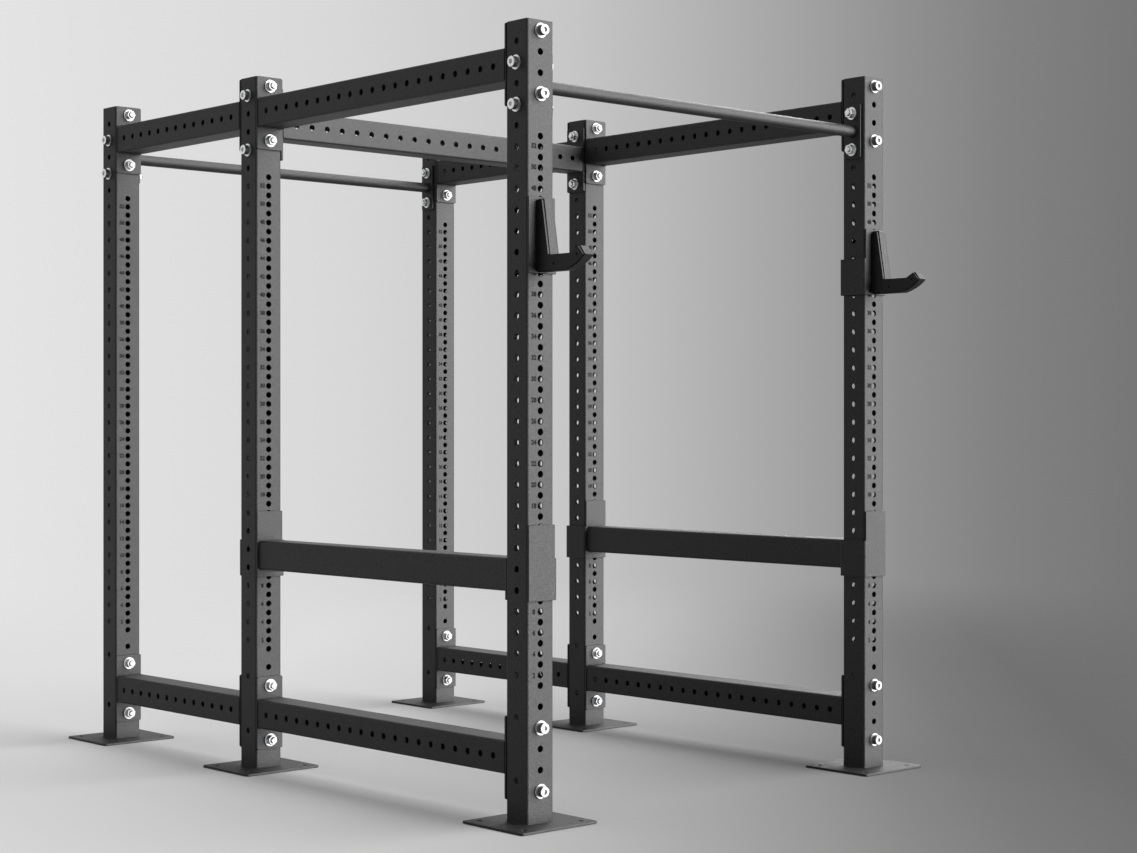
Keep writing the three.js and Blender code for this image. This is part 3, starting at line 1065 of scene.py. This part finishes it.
def build_hanging(coat, plastic, screws):
    """J-cups and safety beams: drawn for the left uprights and mirrored for the right ones."""
    front, _ = middle_of("upright_front_left")
    middle, _ = middle_of("upright_middle_left")
    for side in SIDES:
        upright, _ = middle_of(f"upright_front_{side}")
        sign = 1 if side == "left" else -1
        mirror = Matrix.Scale(sign, 4, (1, 0, 0))
        corner = Vector((upright.x - sign * TUBE / 2, upright.y - TUBE / 2, 0))
        cup_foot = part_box(f"jcup_bracket_{side}")[0].z
        place = Matrix.Translation((corner.x, corner.y, cup_foot)) @ mirror
        body = f"jcup_{side}"
        bracket = jcup_bracket_mesh(place)
        liner = jcup_liner_mesh(place)
        dots = liner_screws_mesh(place)
        here = Matrix.Identity(4)
        piece(f"cup_bracket_{side}", bracket, coat, body, here, [f"jcup_bracket_{side}"])
        piece(f"cup_liner_{side}", liner, plastic, body, here, [f"jcup_liner_{side}"])
        piece(f"cup_screws_{side}", dots, screws, body)
        node = f"safety_beam_{side}"
        beam_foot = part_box(node)[0].z
        place = Matrix.Translation((corner.x, corner.y, beam_foot)) @ mirror
        beam = safety_mesh(middle.y - front.y, place)
        piece(f"safety_{side}", beam, coat, f"safety_{side}", here, [node])


# ---- studio -------------------------------------------------------------------------------------

RIGHT = Vector((1, -1, 0)).normalized()
AWAY = Vector((1, 1, 0)).normalized()
EYE = Vector((-3.7909, -4.9003, 0.9439))
SENSOR = 36.0  # millimetres, like the focal length
FOCAL_LENGTH = 67.5
SIDEWAYS_SHIFT = -0.1672
VIEW_END = 60.0
# The studio's brightness from its bright left to its dim right: light in the world, and painted
# light in the floor's colour.
SWEEP = [
    (0.0, 0.79),
    (0.30, 0.694),
    (0.50, 0.571),
    (0.67, 0.397),
    (0.79, 0.279),
    (0.875, 0.223),
    (1.0, 0.18),
]
SKY_SWEEP = (-0.36, 0.18)  # where it starts and ends: cosines from RIGHT
FLOOR_SWEEP = (-1.20, 1.77)  # the same in metres along RIGHT
FLOOR_TINT = (0.98, 0.98, 0.98, 1)
FLOOR_RADIUS = 12.0
FLOOR_STEPS = 96
FLOOR_DROP = 0.0005  # below the foot plates
FLOOR_FADE = (2.2, 7.5)  # distances at which the floor starts and ends melting into the backdrop

LAMPS_LOOK_AT = Vector((0.0, 0.0, 1.5))
KEY_HEADING = Vector((-0.54, 0.84, -0.20))
KEY_SPREAD = 58  # degrees
KEY_STRENGTH = 13.3
RIM_PLACE = AWAY * 9 + Vector((0.0, 0.0, 5.0))
RIM_SIZE = (8.0, 4.0)
RIM_POWER = 55
HIGH_PLACE = Vector((6.5, 2.0, 6.5))
HIGH_SIZE = (6.0, 6.0)
HIGH_POWER = 1150
GLINT_PLACE = Vector((5.5, -9.5, 1.8))  # the glint falls on the bolts alone
GLINT_SIZE = (11.0, 8.0)
GLINT_POWER = 850
OVERHEAD_HEADING = -RIGHT - Vector((0.0, 0.0, 1.2))
OVERHEAD_SPREAD = 50  # degrees
OVERHEAD_STRENGTH = 2.0


def sweep_grey(shader, across, ends):
    start, end = ends
    share = (across - start) / (end - start)
    return shader.node("ShaderNodeValToRGB", {"stops": SWEEP}, {"Fac": share})


def dot(shader, vector, direction):
    inputs = {0: vector, 1: direction}
    return shader.node("ShaderNodeVectorMath", {"operation": "DOT_PRODUCT"}, inputs, 1)


def build_world():
    world = bpy.data.worlds.new("studio")
    bpy.context.scene.world = world
    shader = Shader(world)
    ray = shader.node("ShaderNodeTexCoord", {}, {}, "Generated")
    grey = sweep_grey(shader, dot(shader, ray, RIGHT), SKY_SWEEP)
    background = shader.node("ShaderNodeBackground", {}, {"Color": grey, "Strength": 1.0})
    shader.node("ShaderNodeOutputWorld", {}, {"Surface": background})


def build_floor():
    """A pale floor with the light's fall-off, from its bright left to its dim right, painted into
    its colour. It melts into the backdrop round its rim.
    """
    bm = bmesh.new()
    bm.faces.new(add_ring(bm, circle(2 * FLOOR_RADIUS, FLOOR_STEPS), 0.0, Matrix.Identity(4)))
    mesh = bpy.data.meshes.new("floor")
    bm.to_mesh(mesh)
    bm.free()
    floor = bpy.data.objects.new("floor", mesh)
    bpy.context.scene.collection.objects.link(floor)
    floor.location.z = -FLOOR_DROP
    shader = Shader(bpy.data.materials.new("pale_floor_painted_light_falloff"))
    spot = shader.place()
    # Painted light: the floor's colour falls off from left to right as the light would.
    grey = sweep_grey(shader, dot(shader, spot, RIGHT), FLOOR_SWEEP)
    tinting = {"data_type": "RGBA", "blend_type": "MULTIPLY"}
    paint = shader.node("ShaderNodeMix", tinting, {0: 1.0, 6: grey, 7: FLOOR_TINT}, 2)
    surface = shader.node("ShaderNodeBsdfDiffuse", {}, {"Color": paint})
    clear = shader.node("ShaderNodeBsdfTransparent", {}, {})
    reach = shader.node("ShaderNodeVectorMath", {"operation": "LENGTH"}, {0: spot}, 1)
    near, far = FLOOR_FADE
    smoothly = {"interpolation_type": "SMOOTHSTEP"}
    fade = shader.node("ShaderNodeMapRange", smoothly, {0: reach, 1: near, 2: far, 3: 0.0, 4: 1.0})
    mixed = shader.node("ShaderNodeMixShader", {}, {0: fade, 1: surface, 2: clear})
    shader.node("ShaderNodeOutputMaterial", {}, {"Surface": mixed})
    mesh.materials.append(shader.owner)
    return floor


def add_softbox(name, place, size, power):
    """A rectangular lamp that looks at the middle of the cage."""
    lamp = bpy.data.lights.new(name, "AREA")
    lamp.shape = "RECTANGLE"
    lamp.size, lamp.size_y = size
    lamp.energy = power
    made = bpy.data.objects.new(name, lamp)
    made.location = place
    made.rotation_mode = "QUATERNION"
    made.rotation_quaternion = (LAMPS_LOOK_AT - place).to_track_quat("-Z", "Y")
    bpy.context.scene.collection.objects.link(made)
    return made


def build_camera():
    lens = bpy.data.cameras.new("camera")
    lens.sensor_width = SENSOR
    lens.lens = FOCAL_LENGTH
    lens.shift_x = SIDEWAYS_SHIFT
    lens.clip_end = VIEW_END
    camera = bpy.data.objects.new("camera", lens)
    camera.location = EYE
    camera.rotation_euler = (math.pi / 2, 0, -math.pi / 4)
    bpy.context.scene.collection.objects.link(camera)
    bpy.context.scene.camera = camera


def add_window(name, heading, spread, strength):
    """Even light from a wide part of the sky."""
    lamp = bpy.data.lights.new(name, "SUN")
    lamp.energy = strength
    lamp.angle = math.radians(spread)
    made = bpy.data.objects.new(name, lamp)
    made.rotation_mode = "QUATERNION"
    made.rotation_quaternion = heading.to_track_quat("-Z", "Y")
    bpy.context.scene.collection.objects.link(made)
    return made


def link(lamp, floor, receivers, state):
    """Keeps a lamp's light off these pieces, or on these alone. The floor lets it through."""
    for purpose, objects, kind in (("receiver", receivers, state), ("blocker", [floor], "EXCLUDE")):
        group = bpy.data.collections.new(f"{lamp.name}_{purpose}")
        for count, thing in enumerate(objects):
            group.objects.link(thing)
            group.collection_objects[count].light_linking.link_state = kind
        setattr(lamp.light_linking, f"{purpose}_collection", group)
    lamp.visible_camera = False


def build_studio(bolts):
    bpy.context.scene.view_settings.view_transform = "Standard"
    build_world()
    build_camera()
    floor = build_floor()
    spared = [floor, *bolts]
    link(add_window("key", KEY_HEADING, KEY_SPREAD, KEY_STRENGTH), floor, spared, "EXCLUDE")
    link(add_softbox("rim", RIM_PLACE, RIM_SIZE, RIM_POWER), floor, spared, "EXCLUDE")
    link(add_softbox("high", HIGH_PLACE, HIGH_SIZE, HIGH_POWER), floor, spared, "EXCLUDE")
    link(add_softbox("glint", GLINT_PLACE, GLINT_SIZE, GLINT_POWER), floor, bolts, "INCLUDE")
    add_window("overhead", OVERHEAD_HEADING, OVERHEAD_SPREAD, OVERHEAD_STRENGTH)


coat = [powder_coat()]
build_uprights(coat, [cap_plastic()], [digit_ink()])
build_beams(coat)
build_bars(coat)
# The bolts' second finish is painted shade on the heads' sides.
bolts = build_bolts([zinc_plate(), knurled_steel()])
build_hanging(coat, [wear_plastic()], [black_screws()])
build_studio(bolts)
